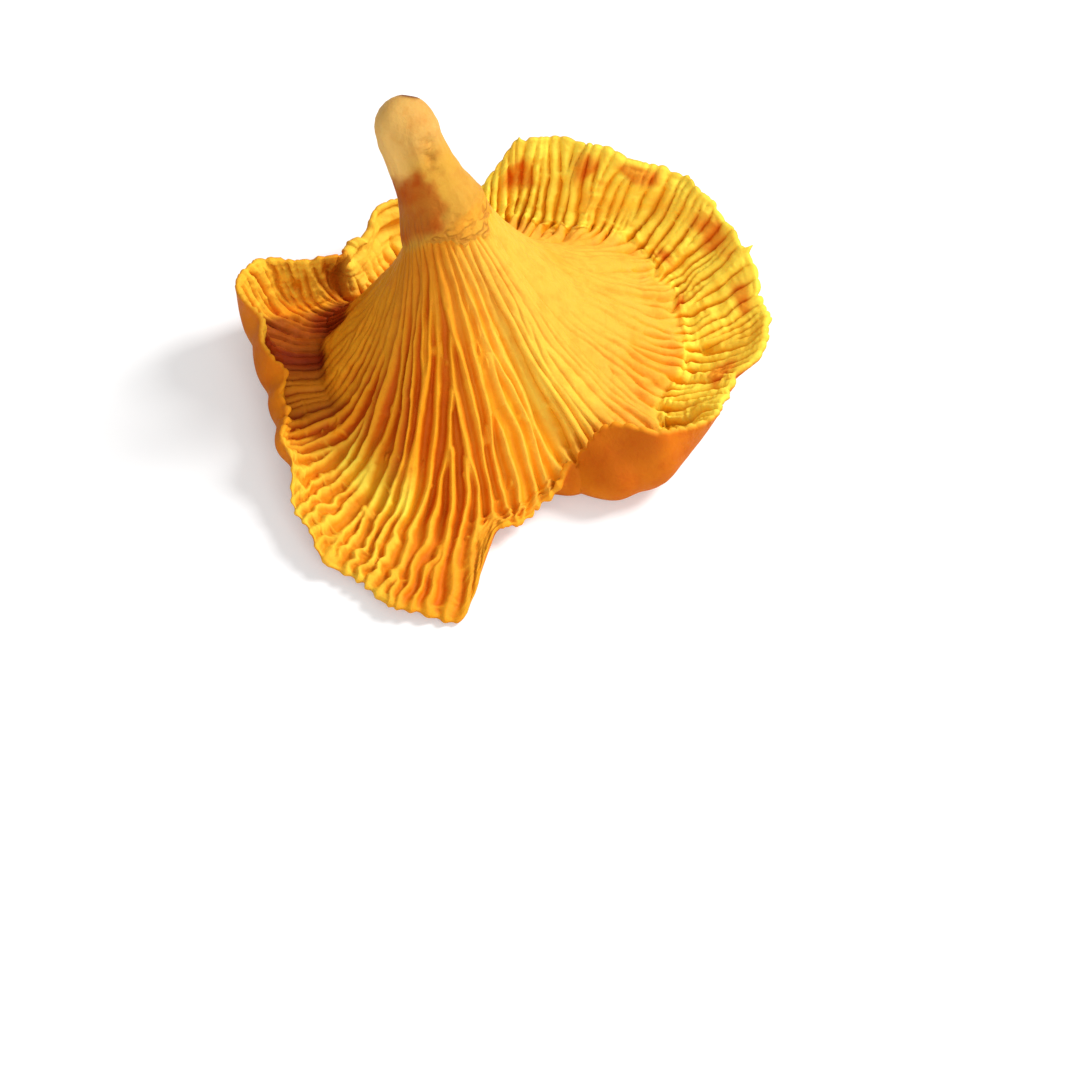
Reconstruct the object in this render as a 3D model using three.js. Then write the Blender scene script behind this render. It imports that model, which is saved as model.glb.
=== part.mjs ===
// A chanterelle mushroom (Cantharellus cibarius), picked and laid cap down.
// Millimetres, +Z up.  The fruit body grew as one piece, so it is one solid: a bent stem,
// a funnel of gill ridges that runs down from it, a wavy upturned brim with two lobes
// and a long tongue, and the smooth hollow top of the cap underneath, on which it rests.
import * as THREE from "three";

// ---- driving dimensions -------------------------------------------------------------

// The cap's axis is the Z line that its radii and angles are measured from.
// It stands here from the middle of the body's box; the lowest flesh is at Z = 0.
const CAP_AXIS = new THREE.Vector3(-2.82, 4.26, -0.091);

// Where the gills begin under the stem, as seen in the cap's own frame.
const NECK_CENTRE = new THREE.Vector3(-5.9, 4.3, 31.2);
const NECK_RADIUS = 6.7;
const NECK_TILT = 2.8;
const NECK_HIGH_SIDE = -28;
const STEM_LENGTH = 16.15;
const STEM_LEAN = new THREE.Vector3(-5.2, 4.9, 15.4).normalize();
const STEM_BEND = -0.05;

// Stem radius at parts of its length from the neck: it narrows above the gills.
const STEM_TAPER = [
  [0, 6.7],
  [0.12, 6.35],
  [0.26, 5.6],
  [0.42, 5.0],
  [0.6, 4.6],
  [0.8, 4.4],
  [1, 4.3],
];

// The foot of the stem is as round as a ball, with a small flat cut that faces back and up.
const FOOT_RADIUS = 4.3;
const CUT_RADIUS = 1.2;
const CUT_NORMAL = new THREE.Vector3(0.16, 0.69, 0.71).normalize();

// How far the funnel's curve runs straight on from the neck, and straight up to the shoulder.
const NECK_REACH = 9;
const SHOULDER_REACH = 11;

// On this side the funnel's flesh is fullest: its flank bellies out there, and the curve
// leaves the neck and meets the shoulder sooner.
const FLANK_MIDDLE = 172;
const FLANK_HALF_WIDTH = 40;
const FLANK_BELLY = 4;
const FULL_SIDE_NECK_CUT = 2;
const FULL_SIDE_SHOULDER_CUT = 3;
const FULL_SIDE_PUSH = 4.5;

// The gill side meets the brim in a valley at this height, the shoulder.
const SHOULDER_HEIGHT = 4.0;
const SHOULDER_SLOPE = 0.3;
const RIM_THICKNESS = 1.4;
const SHOULDER_THICKNESS = 3.6;
const THINNING = 1.1;

// The brim's curve: how much of its width it runs level past the shoulder, and no further
// than the longest reach; how much of its width it is straight at the rim; and how much of
// its bulge is left there.
const BRIM_START = 0.45;
const LONGEST_REACH = 6;
const BRIM_END = 0.35;
const BULGE_AT_RIM = 0.6;

// The rim is ruffled, in waves that go whole times round the cap: count, size, phase.
const RIM_WAVES_OUT = [
  [11, 0.5, 40],
  [26, 0.35, 0],
];
const RIM_WAVES_UP = [[17, 0.5, 90]];
const RIM_ROUNDING = 0.45;

// From the right side round the back to the ear the valley is a tight crease.
const CREASE_MIDDLE = 57.5;
const CREASE_HALF_SPAN = 92.5;
const CREASE_FADE = 40;
const CREASE_TIGHTNESS = 0.5;

// The dimple in the middle of the cap's smooth top, which is the hollow underneath.
const HOLLOW_APEX = new THREE.Vector3(-3.0, 2.4, 15.0);
const HOLLOW_APEX_SPREAD = 7;
const HOLLOW_FLARE_IN = 8.4;
const HOLLOW_FLARE_UP = 2.7;

// How the brim goes round the cap, one line for each bend of its edge:
// angle (degrees), shoulder radius, rim radius, rim height, outward bulge, sideways lean (degrees)
const BRIM = [
  [0, 28.5, 41.2, 9.0, 1.5, 0],
  [15, 29.0, 41.5, 10.0, 1.5, 0],
  [30, 31.0, 41.3, 12.0, 1.5, 0],
  [45, 30.8, 40.2, 13.0, 1.5, 0],
  [60, 28.8, 36.8, 14.0, 1.5, 0],
  [75, 26.8, 36.0, 14.0, 1.5, 0],
  [81, 26.3, 36.0, 13.4, 1.5, 0],
  [87, 25.7, 33.2, 9.4, 1.5, 0],
  [93, 25.0, 31.0, 6.5, 1.5, 0],
  [106, 23.5, 28.5, 8.0, 1.5, 0],
  [120, 22.0, 28.3, 12.0, 2.0, 0],
  [134, 20.0, 25.4, 12.0, 2.5, 2],
  [144, 20.0, 24.2, 11.6, 1.5, 1],
  [151, 21.6, 25.6, 12.6, 2.5, 0],
  [157, 23.8, 29.4, 13.2, 1.5, 0],
  [163, 25.2, 35.6, 13.4, 3.5, -1],
  [170, 24.8, 35.6, 13.3, 5.5, 0],
  [178, 24.0, 32.9, 12.2, 5.0, 0],
  [186, 23.4, 31.9, 9.6, 5.0, 0],
  [195, 23.6, 30.2, 7.8, 5.0, 0],
  [208, 25.8, 33.0, 8.0, 4.5, 0],
  [224, 28.8, 38.0, 5.0, 1.5, 0],
  [242, 29.5, 42.0, 3.5, 1.0, 0],
  [256, 30.0, 45.0, 2.5, 1.0, 0],
  [265, 29.5, 44.0, 2.5, 1.0, 0],
  [273, 28.0, 31.0, 3.5, 0.5, 0],
  [284, 26.0, 28.7, 3.5, 0.5, 0],
  [294, 23.2, 25.2, 4.0, 0.5, 0],
  [303, 23.2, 24.2, 7.0, 1.2, 0],
  [312, 26.0, 26.0, 11.0, 3.5, 0],
  [321, 28.0, 31.0, 12.0, 4.0, 0],
  [331, 28.0, 35.0, 11.0, 2.5, 0],
  [342, 28.0, 37.0, 9.0, 1.5, 0],
  [350, 28.2, 38.3, 9.0, 1.5, 0],
];

// What each number of such a line is.
const ANGLE = 0;
const SHOULDER_RADIUS = 1;
const RIM_RADIUS = 2;
const RIM_HEIGHT = 3;
const BULGE = 4;
const LEAN = 5;

// Gill ridges of the solid, one crest and one groove each, and how deep they are.
const RIDGES = 80;
const RIDGE_DEPTH = 0.9;
const RIDGE_FULL_FROM = 0.45;
const RIDGE_FADE_FROM = 1.8;
const RIDGE_LOSS_AT_RIM = 0.6;
const RIDGE_WANDER = 1.3;
const RIDGE_WANDER_WAVES = 5;
const RIDGE_WANDER_TURN = 4.2;
const STEM_SIDES = 40;
const CAP_SIDES = 80;

// Rows of vertices: 0 is the neck, 1 the shoulder and 2 the rim.
const GILL_ROWS = [0, 0.05, 0.12, 0.21, 0.32, 0.43, 0.54, 0.65, 0.76, 0.88, 1,
  1.1, 1.22, 1.36, 1.5, 1.64, 1.78, 1.9, 2];
const CAP_ROWS = [2, 1.88, 1.74, 1.58, 1.42, 1.26, 1.12, 1];
const HOLLOW_ROWS = [0.12, 0.26, 0.42, 0.58, 0.74, 0.88];
const FOOT_ROWS = [0.2, 0.4, 0.6, 0.8, 1];

// The patch that a direction out of the flesh is taken over: half its length down the gill
// side and half its turn in degrees; and the places beside the shoulder and the rim.
const PATCH_HALF_LENGTH = 0.03;
const PATCH_HALF_TURN = 2.5;
const JUST_PAST_SHOULDER = 1.0001;
const JUST_BEFORE_RIM = 1.95;

// ---- shape --------------------------------------------------------------------------

const UP = new THREE.Vector3(0, 0, 1);
const RIGHT = new THREE.Vector3(1, 0, 0);
const radians = THREE.MathUtils.degToRad;

function outward(angle) {
  return new THREE.Vector3(Math.cos(radians(angle)), Math.sin(radians(angle)), 0);
}

function along(start, ...steps) {
  const point = start.clone();
  for (const [direction, length] of steps) {
    point.addScaledVector(direction, length);
  }
  return point;
}

function bezier(a, b, c, d, t) {
  return new THREE.CubicBezierCurve3(a, b, c, d).getPoint(t);
}

// A smooth line through the brim's bends that never overshoots them, and closes on itself.
function brimValue(column, angle) {
  const count = BRIM.length;
  const turned = ((angle % 360) + 360) % 360;
  let last = count - 1;
  while (BRIM[last][ANGLE] > turned) {
    last -= 1;
  }
  const at = (i) => BRIM[(i + count) % count][column];
  const where = (i) => BRIM[(i + count) % count][ANGLE] + 360 * Math.floor(i / count);
  const slope = (i) => (at(i + 1) - at(i)) / (where(i + 1) - where(i));
  const tangent = (i) => {
    const before = slope(i - 1);
    const after = slope(i);
    return before * after > 0 ? (2 * before * after) / (before + after) : 0;
  };
  const step = where(last + 1) - where(last);
  const u = (turned - where(last)) / step;
  return at(last) * (1 + 2 * u) * (1 - u) ** 2
    + at(last + 1) * u * u * (3 - 2 * u)
    + step * tangent(last) * u * (1 - u) ** 2
    + step * tangent(last + 1) * u * u * (u - 1);
}

function ruffle(waves, angle) {
  const parts = waves.map(([count, size, phase]) => size * Math.sin(radians(count * angle + phase)));
  return parts.reduce((sum, part) => sum + part, 0);
}

function rimRadius(angle) {
  return brimValue(RIM_RADIUS, angle) + ruffle(RIM_WAVES_OUT, angle);
}

function rimHeight(angle) {
  return brimValue(RIM_HEIGHT, angle) + ruffle(RIM_WAVES_UP, angle);
}

// Directions square to the stem, so that the neck ring is square to it too.
function aroundStem(angle) {
  const direction = outward(angle);
  direction.addScaledVector(STEM_LEAN, -direction.dot(STEM_LEAN));
  return direction.normalize();
}

// The turn from one angle to another, at most half a circle.
function turnFrom(angle, from) {
  const turn = THREE.MathUtils.euclideanModulo(angle - from, 360);
  return Math.min(turn, 360 - turn);
}

// The neck slants: how far along the stem its edge lies from the neck's middle.
function neckRise(angle) {
  return NECK_TILT * Math.cos(radians(angle - NECK_HIGH_SIDE));
}

// 0 where the valley under the brim is wide, up to the crease's tightness where it is not.
function creaseAt(angle) {
  const inside = CREASE_HALF_SPAN - CREASE_FADE / 2;
  const away = turnFrom(angle, CREASE_MIDDLE);
  const wide = THREE.MathUtils.smoothstep(away, inside, inside + CREASE_FADE);
  return CREASE_TIGHTNESS * (1 - wide);
}

// The way down and out over the shoulder.
function shoulderSlope(out) {
  return along(out, [UP, -SHOULDER_SLOPE]).normalize();
}

function shoulderPoint(angle) {
  return along(new THREE.Vector3(), [outward(angle), brimValue(SHOULDER_RADIUS, angle)], [UP, SHOULDER_HEIGHT]);
}

// The funnel of gills: t runs from 0 at the neck to 1 at the shoulder.
function funnel(angle, t) {
  const out = outward(angle);
  const full = 0.5 + 0.5 * Math.cos(radians(angle - FLANK_MIDDLE));
  const belly = FLANK_BELLY * Math.exp(-((turnFrom(angle, FLANK_MIDDLE) / FLANK_HALF_WIDTH) ** 2));
  const neck = along(NECK_CENTRE, [aroundStem(angle), NECK_RADIUS], [STEM_LEAN, neckRise(angle)]);
  const neckReach = NECK_REACH - FULL_SIDE_NECK_CUT * full;
  const underNeck = along(neck, [STEM_LEAN, -neckReach], [out, FULL_SIDE_PUSH * full]);
  const shoulder = shoulderPoint(angle);
  const reach = SHOULDER_REACH - FULL_SIDE_SHOULDER_CUT * full - belly;
  const beforeShoulder = along(shoulder, [shoulderSlope(out), -reach], [UP, belly]);
  return bezier(neck, underNeck, beforeShoulder, shoulder, t);
}

// The brim: t runs from 0 at the shoulder to 1 at the rim.
function brim(angle, t) {
  const out = outward(angle);
  const rimOut = outward(angle + brimValue(LEAN, angle));
  const bulge = brimValue(BULGE, angle);
  const shoulder = shoulderPoint(angle);
  const rim = along(new THREE.Vector3(), [rimOut, rimRadius(angle)], [UP, rimHeight(angle)]);
  const opened = 1 - creaseAt(angle);
  const reach = Math.min(BRIM_START * rim.distanceTo(shoulder), LONGEST_REACH);
  const afterShoulder = along(shoulder, [shoulderSlope(out), reach * opened], [out, bulge * opened]);
  const beforeRim = rim.clone().lerp(shoulder, BRIM_END).addScaledVector(rimOut, BULGE_AT_RIM * bulge);
  return bezier(shoulder, afterShoulder, beforeRim, rim, t);
}

// The smooth gill side without its ridges: s runs 0 neck, 1 shoulder, 2 rim.
function gillSide(angle, s) {
  return s <= 1 ? funnel(angle, s) : brim(angle, s - 1);
}

// The direction out of the flesh on the gill side, taken over a small patch of it.
function gillNormal(angle, s) {
  const low = s <= 1 ? 0 : 1;
  const above = gillSide(angle, Math.max(s - PATCH_HALF_LENGTH, low));
  const below = gillSide(angle, Math.min(s + PATCH_HALF_LENGTH, low + 1));
  const before = gillSide(angle - PATCH_HALF_TURN, s);
  const after = gillSide(angle + PATCH_HALF_TURN, s);
  return below.sub(above).cross(after.sub(before)).normalize();
}

// The smooth side of the cap, a flesh thickness away from the gill side.
function capSide(angle, s) {
  const inner = (2 - s) ** THINNING;
  const thickness = RIM_THICKNESS + (SHOULDER_THICKNESS - RIM_THICKNESS) * inner;
  const normal = gillNormal(angle, Math.max(s, JUST_PAST_SHOULDER));
  return along(gillSide(angle, s), [normal, -thickness]);
}

function hollowSide(angle, t) {
  const out = outward(angle);
  const edge = capSide(angle, 1);
  const nearEdge = along(edge, [out, -HOLLOW_FLARE_IN], [UP, HOLLOW_FLARE_UP]);
  const nearApex = along(HOLLOW_APEX, [out, HOLLOW_APEX_SPREAD]);
  return bezier(edge, nearEdge, nearApex, HOLLOW_APEX, t);
}

// ---- rings of vertices, from the stem's cut foot to the hollow's apex ---------------

function ring(sides, pointAt) {
  return Array.from({ length: sides }, (_, i) => pointAt((360 * i) / sides, i));
}

// From the end of the stem, where t is 0, over the round foot to the edge of its cut.
function footRing(t) {
  const end = along(NECK_CENTRE, [STEM_LEAN, STEM_LENGTH]);
  const cutDepth = Math.sqrt(FOOT_RADIUS ** 2 - CUT_RADIUS ** 2);
  return ring(STEM_SIDES, (angle) => {
    const side = aroundStem(angle);
    const edge = side.clone().addScaledVector(CUT_NORMAL, -side.dot(CUT_NORMAL)).normalize();
    const cutEdge = along(new THREE.Vector3(), [CUT_NORMAL, cutDepth], [edge, CUT_RADIUS]);
    const way = side.multiplyScalar(FOOT_RADIUS).lerp(cutEdge, t).normalize();
    return along(end, [way, FOOT_RADIUS]);
  });
}

function stemRing([part, radius]) {
  const bend = STEM_BEND * Math.sin(Math.PI * part);
  const centre = along(NECK_CENTRE, [STEM_LEAN, STEM_LENGTH * part], [RIGHT, bend]);
  return ring(STEM_SIDES, (angle) => {
    const rise = neckRise(angle) * (1 - part);
    return along(centre, [aroundStem(angle), radius], [STEM_LEAN, rise]);
  });
}

// Ridges fade in below the neck and out towards the rim.
function ridgeDepth(s) {
  const fadeIn = Math.min(s / RIDGE_FULL_FROM, 1);
  const towardsRim = Math.max(s - RIDGE_FADE_FROM, 0) / (2 - RIDGE_FADE_FROM);
  return RIDGE_DEPTH * fadeIn * (1 - RIDGE_LOSS_AT_RIM * towardsRim);
}

// Each ridge wanders a little to the side on its way to the rim.
function wander(angle, s) {
  const phase = radians(RIDGE_WANDER_WAVES * angle) + RIDGE_WANDER_TURN * s;
  return RIDGE_WANDER * Math.sin(phase) * Math.min(s, 1);
}

function gillRing(s) {
  return ring(2 * RIDGES, (angle, i) => {
    const turned = angle + wander(angle, s);
    const lift = (i % 2 === 0 ? 0.5 : -0.5) * ridgeDepth(s);
    return along(gillSide(turned, s), [gillNormal(turned, s), lift]);
  });
}

function rimEdgeRing() {
  return ring(CAP_SIDES, (angle) => {
    const middle = gillSide(angle, 2).lerp(capSide(angle, 2), 0.5);
    const outOfRim = gillSide(angle, 2).sub(gillSide(angle, JUST_BEFORE_RIM)).normalize();
    return middle.addScaledVector(outOfRim, RIM_ROUNDING);
  });
}

// ---- skin ---------------------------------------------------------------------------

// Joins two closed rings that may have different numbers of vertices.
function joinRings(triangles, from, to) {
  let i = 0;
  let j = 0;
  while (i < from.count || j < to.count) {
    const a = from.start + (i % from.count);
    const b = to.start + (j % to.count);
    if (j * from.count >= i * to.count && i < from.count) {
      triangles.push(a, b, from.start + ((i + 1) % from.count));
      i += 1;
    } else {
      triangles.push(a, b, to.start + ((j + 1) % to.count));
      j += 1;
    }
  }
}

function closeRing(triangles, edge, tip, outwardFirst) {
  for (let i = 0; i < edge.count; i += 1) {
    const a = edge.start + i;
    const b = edge.start + ((i + 1) % edge.count);
    triangles.push(...(outwardFirst ? [tip, a, b] : [tip, b, a]));
  }
}

function skin(rings, firstTip, lastTip) {
  const points = [firstTip];
  const spans = rings.map((vertices) => {
    const span = { start: points.length, count: vertices.length };
    points.push(...vertices);
    return span;
  });
  points.push(lastTip);
  const triangles = [];
  closeRing(triangles, spans[0], 0, true);
  for (let k = 1; k < spans.length; k += 1) {
    joinRings(triangles, spans[k - 1], spans[k]);
  }
  closeRing(triangles, spans.at(-1), points.length - 1, false);
  const geometry = new THREE.BufferGeometry().setFromPoints(points);
  geometry.setIndex(triangles);
  return geometry;
}

function fruitBodyGeometry() {
  const cutEdge = footRing(1);
  const cutMiddle = cutEdge.reduce((sum, p) => sum.add(p), new THREE.Vector3()).divideScalar(STEM_SIDES);
  const rings = [
    ...[...FOOT_ROWS].reverse().map(footRing),
    ...[...STEM_TAPER].reverse().map(stemRing).slice(0, -1),
    ...GILL_ROWS.map(gillRing),
    rimEdgeRing(),
    ...CAP_ROWS.map((s) => ring(CAP_SIDES, (angle) => capSide(angle, s))),
    ...HOLLOW_ROWS.map((t) => ring(CAP_SIDES, (angle) => hollowSide(angle, t))),
  ];
  const geometry = skin(rings, cutMiddle, HOLLOW_APEX.clone());
  geometry.translate(CAP_AXIS.x, CAP_AXIS.y, CAP_AXIS.z);
  geometry.computeVertexNormals();
  return geometry;
}

const flesh = new THREE.MeshStandardMaterial({ color: 0xf0b040, roughness: 0.7, metalness: 0 });
const chanterelle = new THREE.Mesh(fruitBodyGeometry(), flesh);
chanterelle.name = "chanterelle";

const mushroom = new THREE.Group();
mushroom.add(chanterelle);

export default mushroom;
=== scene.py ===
import bmesh
import bpy
import numpy as np
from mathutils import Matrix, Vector


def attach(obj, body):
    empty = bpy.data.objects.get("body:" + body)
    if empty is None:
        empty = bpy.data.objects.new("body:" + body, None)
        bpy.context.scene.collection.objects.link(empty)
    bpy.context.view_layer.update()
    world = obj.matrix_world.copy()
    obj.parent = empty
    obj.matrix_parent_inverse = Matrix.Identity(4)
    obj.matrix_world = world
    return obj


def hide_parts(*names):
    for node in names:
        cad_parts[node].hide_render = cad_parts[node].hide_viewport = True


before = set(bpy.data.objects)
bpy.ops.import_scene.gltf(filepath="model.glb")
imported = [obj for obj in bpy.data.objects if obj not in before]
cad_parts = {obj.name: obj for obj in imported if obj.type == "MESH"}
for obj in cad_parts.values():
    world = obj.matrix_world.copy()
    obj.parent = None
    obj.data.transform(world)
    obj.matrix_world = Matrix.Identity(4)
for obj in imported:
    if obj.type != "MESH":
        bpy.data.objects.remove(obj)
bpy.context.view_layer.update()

# ---- the fruit body: its form ---------------------------------------------------------
# The fruit body of a chanterelle: stem, gill folds, brim and cap grew as one piece of firm,
# faintly moist flesh. It is made as one closed skin round its solid, and it lies loose on
# the rolled edge of its cap.
#
# The form is the solid's own, in millimetres from the cap's axis. Angles go round that
# axis, and s runs down the gill side: 0 at the neck, 1 at the shoulder and 2 at the rim.
UP = np.array([0.0, 0.0, 1.0])


def unit(direction):
    return direction / np.linalg.norm(direction, axis=-1, keepdims=True)


CAP_AXIS = np.array([-2.82, 4.26, -0.091])
NECK_CENTRE = np.array([-5.9, 4.3, 31.2])
NECK_RADIUS = 6.7
NECK_TILT = 2.8
NECK_HIGH_SIDE = -28
STEM_LENGTH = 16.15
STEM_LEAN = unit(np.array([-5.2, 4.9, 15.4]))
STEM_BEND = np.array([-0.05, 0, 0])
# The stem's radius, from the neck to the start of its round foot.
STEM_TAPER = np.array([(0, 6.7), (0.12, 6.35), (0.26, 5.6), (0.42, 5.0), (0.6, 4.6), (0.8, 4.4), (1, 4.3)])
FOOT_CENTRE = NECK_CENTRE + STEM_LEAN * STEM_LENGTH
FOOT_RADIUS = 4.3
CUT_RADIUS = 1.2
CUT_NORMAL = unit(np.array([0.16, 0.69, 0.71]))
CUT_CENTRE = FOOT_CENTRE + CUT_NORMAL * np.sqrt(FOOT_RADIUS ** 2 - CUT_RADIUS ** 2)
RIM_THICKNESS = 0.9
SHOULDER_THICKNESS = 3.6
THICKENING_POWER = 1.1

# The funnel runs on along the stem below the neck and lands on the shoulder's slope. Its
# left flank is fuller, with a belly over the pocket there.
FLANK_MIDDLE = 172
FLANK_HALF_WIDTH = 40
FLANK_BELLY = 4
NECK_RUN = 9
NECK_RUN_LESS_WHERE_FULL = 2
SPREAD_WHERE_FULL = 4.5
SHOULDER_RUN = 11
SHOULDER_RUN_LESS_WHERE_FULL = 3
SHOULDER_HEIGHT = 4.0
SHOULDER_SLOPE = 0.3

# The brim turns up from the shoulder: softly on the left and with a crease on the right.
CREASE_SPAN = (-35, 150)
CREASE_SHARPNESS = 0.7
CREASE_STRENGTH = 0.7
CREASE_UNEVENNESS = 0.4
SHOULDER_EASE_SHARE = 0.45
SHOULDER_EASE_MOST = 6
RIM_EASE_SHARE = 0.35
RIM_BULGE_SHARE = 0.6

# Waves of the form: height, waves round the body, waves along it and the noise's seed.
SHOULDER_WAVES = ((1.5, 22, 1, 91), (0.6, 58, 1, 92))
SHOULDER_LIFT = ((0.4, 31, 1, 93),)
# Regular waves of the rim: height, waves round the body and where they start.
RIM_IN_AND_OUT = ((0.5, 11, 0.7), (0.35, 26, 0))
RIM_UP_AND_DOWN = 0.5
RIM_UPS = 17

# Each bend of the brim's edge: angle, shoulder radius, rim radius, rim height,
# outward bulge and sideways lean of the rim.
ANGLE, SHOULDER_RADIUS, RIM_RADIUS, RIM_HEIGHT, BULGE, SIDE_LEAN = range(6)
BRIM = np.array([
    (0, 28.5, 41.2, 9.0, 1.5, 0),
    (15, 29.0, 41.5, 10.0, 1.5, 0),
    (30, 31.0, 41.3, 12.0, 1.5, 0),
    (45, 30.8, 40.2, 13.0, 1.5, 0),
    (60, 28.8, 36.8, 14.0, 1.5, 0),
    (75, 26.8, 36.0, 14.0, 1.5, 0),
    (81, 26.3, 36.0, 13.4, 1.5, 0),
    (87, 25.7, 33.2, 9.4, 1.5, 0),
    (93, 25.0, 31.0, 6.5, 1.5, 0),
    (106, 23.5, 28.5, 8.0, 1.5, 0),
    (120, 22.0, 28.3, 12.0, 2.0, 0),
    (134, 20.0, 25.4, 12.0, 2.5, 2),
    (144, 20.0, 24.2, 11.6, 1.5, 1),
    (151, 21.6, 25.6, 12.6, 2.5, 0),
    (157, 23.8, 29.4, 13.2, 1.5, 0),
    (163, 25.2, 35.6, 13.4, 3.5, -1),
    (170, 24.8, 35.6, 13.3, 5.5, 0),
    (178, 24.0, 32.9, 12.2, 5.0, 0),
    (186, 23.4, 31.9, 9.6, 5.0, 0),
    (195, 23.6, 30.2, 7.8, 5.0, 0),
    (208, 25.8, 33.0, 8.0, 4.5, 0),
    (224, 28.8, 38.0, 5.0, 1.5, 0),
    (242, 29.5, 42.0, 3.5, 1.0, 0),
    (256, 30.0, 45.0, 2.5, 1.0, 0),
    (265, 29.5, 44.0, 2.5, 1.0, 0),
    (273, 28.0, 31.0, 3.5, 0.5, 0),
    (284, 26.0, 28.7, 3.5, 0.5, 0),
    (294, 23.2, 25.2, 4.0, 0.5, 0),
    (303, 23.2, 24.2, 7.0, 1.2, 0),
    (312, 26.0, 26.0, 11.0, 3.5, 0),
    (321, 28.0, 31.0, 12.0, 4.0, 0),
    (331, 28.0, 35.0, 11.0, 2.5, 0),
    (342, 28.0, 37.0, 9.0, 1.5, 0),
    (350, 28.2, 38.3, 9.0, 1.5, 0),
])


def brim_value(column, angle):
    """A smooth closed line through the brim's bends that never overshoots them."""
    bends = np.concatenate([BRIM[-2:, ANGLE] - 360, BRIM[:, ANGLE], BRIM[:2, ANGLE] + 360])
    values = np.concatenate([BRIM[-2:, column], BRIM[:, column], BRIM[:2, column]])
    slopes = np.diff(values) / np.diff(bends)
    before, after = slopes[:-1], slopes[1:]
    same_way = before * after > 0
    tangents = np.zeros_like(before)
    tangents[same_way] = 2 * before[same_way] * after[same_way] / (before[same_way] + after[same_way])
    bends, values = bends[1:-1], values[1:-1]
    turned = (angle - bends[0]) % 360 + bends[0]
    last = np.clip(np.searchsorted(bends, turned, side="right") - 1, 0, len(bends) - 2)
    step = bends[last + 1] - bends[last]
    u = (turned - bends[last]) / step
    return (values[last] * (1 + 2 * u) * (1 - u) ** 2 + values[last + 1] * u * u * (3 - 2 * u)
            + step * tangents[last] * u * (1 - u) ** 2 + step * tangents[last + 1] * u * u * (u - 1))


def outward(angle):
    turn = np.radians(angle)
    return np.stack([np.cos(turn), np.sin(turn), 0 * turn], -1)


def around_stem(angle):
    """Directions square to the stem."""
    direction = outward(angle)
    return unit(direction - (direction @ STEM_LEAN)[..., None] * STEM_LEAN)


def neck_rise(angle):
    """The neck slants: how far along the stem its edge lies from the neck's middle."""
    return NECK_TILT * np.cos(np.radians(angle - NECK_HIGH_SIDE))


def bezier(a, b, c, d, t):
    t = np.asarray(t)[..., None]
    return (1 - t) ** 3 * a + 3 * (1 - t) ** 2 * t * b + 3 * (1 - t) * t * t * c + t ** 3 * d


def noise(angle, along, waves_round, waves_along, seed):
    """Smooth random values from -1 to 1 that close on themselves round the body."""
    spots_along, first_spot = 64, 16
    spots = np.random.default_rng(seed).uniform(-1, 1, (waves_round, spots_along))
    x = (angle % 360) / 360 * waves_round
    y = (along * waves_along + first_spot) % (spots_along - 1)
    i, j = np.floor(x).astype(int) % waves_round, np.floor(y).astype(int)
    u, v = x - np.floor(x), y - np.floor(y)
    u, v = u * u * (3 - 2 * u), v * v * (3 - 2 * v)
    near = spots[i, j] * (1 - u) + spots[(i + 1) % waves_round, j] * u
    far = spots[i, j + 1] * (1 - u) + spots[(i + 1) % waves_round, j + 1] * u
    return near * (1 - v) + far * v


def waves(angle, along, layers):
    """Noises added up: each layer has its height, its waves round and along, and its seed."""
    return sum(height * noise(angle, along, *pattern) for height, *pattern in layers)


def ease(value):
    """0 below 0, 1 above 1 and a smooth step between."""
    value = np.clip(value, 0, 1)
    return value * value * (3 - 2 * value)


def past(value, start, length):
    """0 up to the start, and 1 from the end of the length after it."""
    return ease((value - start) / length)


def until(value, end, length):
    """1 up to the last length before the end, and 0 from the end on."""
    return ease((end - value) / length)


def hill(value, middle, half_width):
    return np.exp(-((value - middle) / half_width) ** 2)


def round_about(angle, middle, half_width):
    """1 where the angle is the middle one, falling to 0 on both sides of it."""
    return hill((angle - middle + 180) % 360 - 180, 0, half_width)


def between(angle, first, last, soft):
    """1 for angles from the first to the last one, counted anticlockwise, with soft ends."""
    half = (last - first) % 360 / 2
    away = np.abs((angle - first - half + 180) % 360 - 180)
    return ease((half + soft / 2 - away) / soft)


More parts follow.
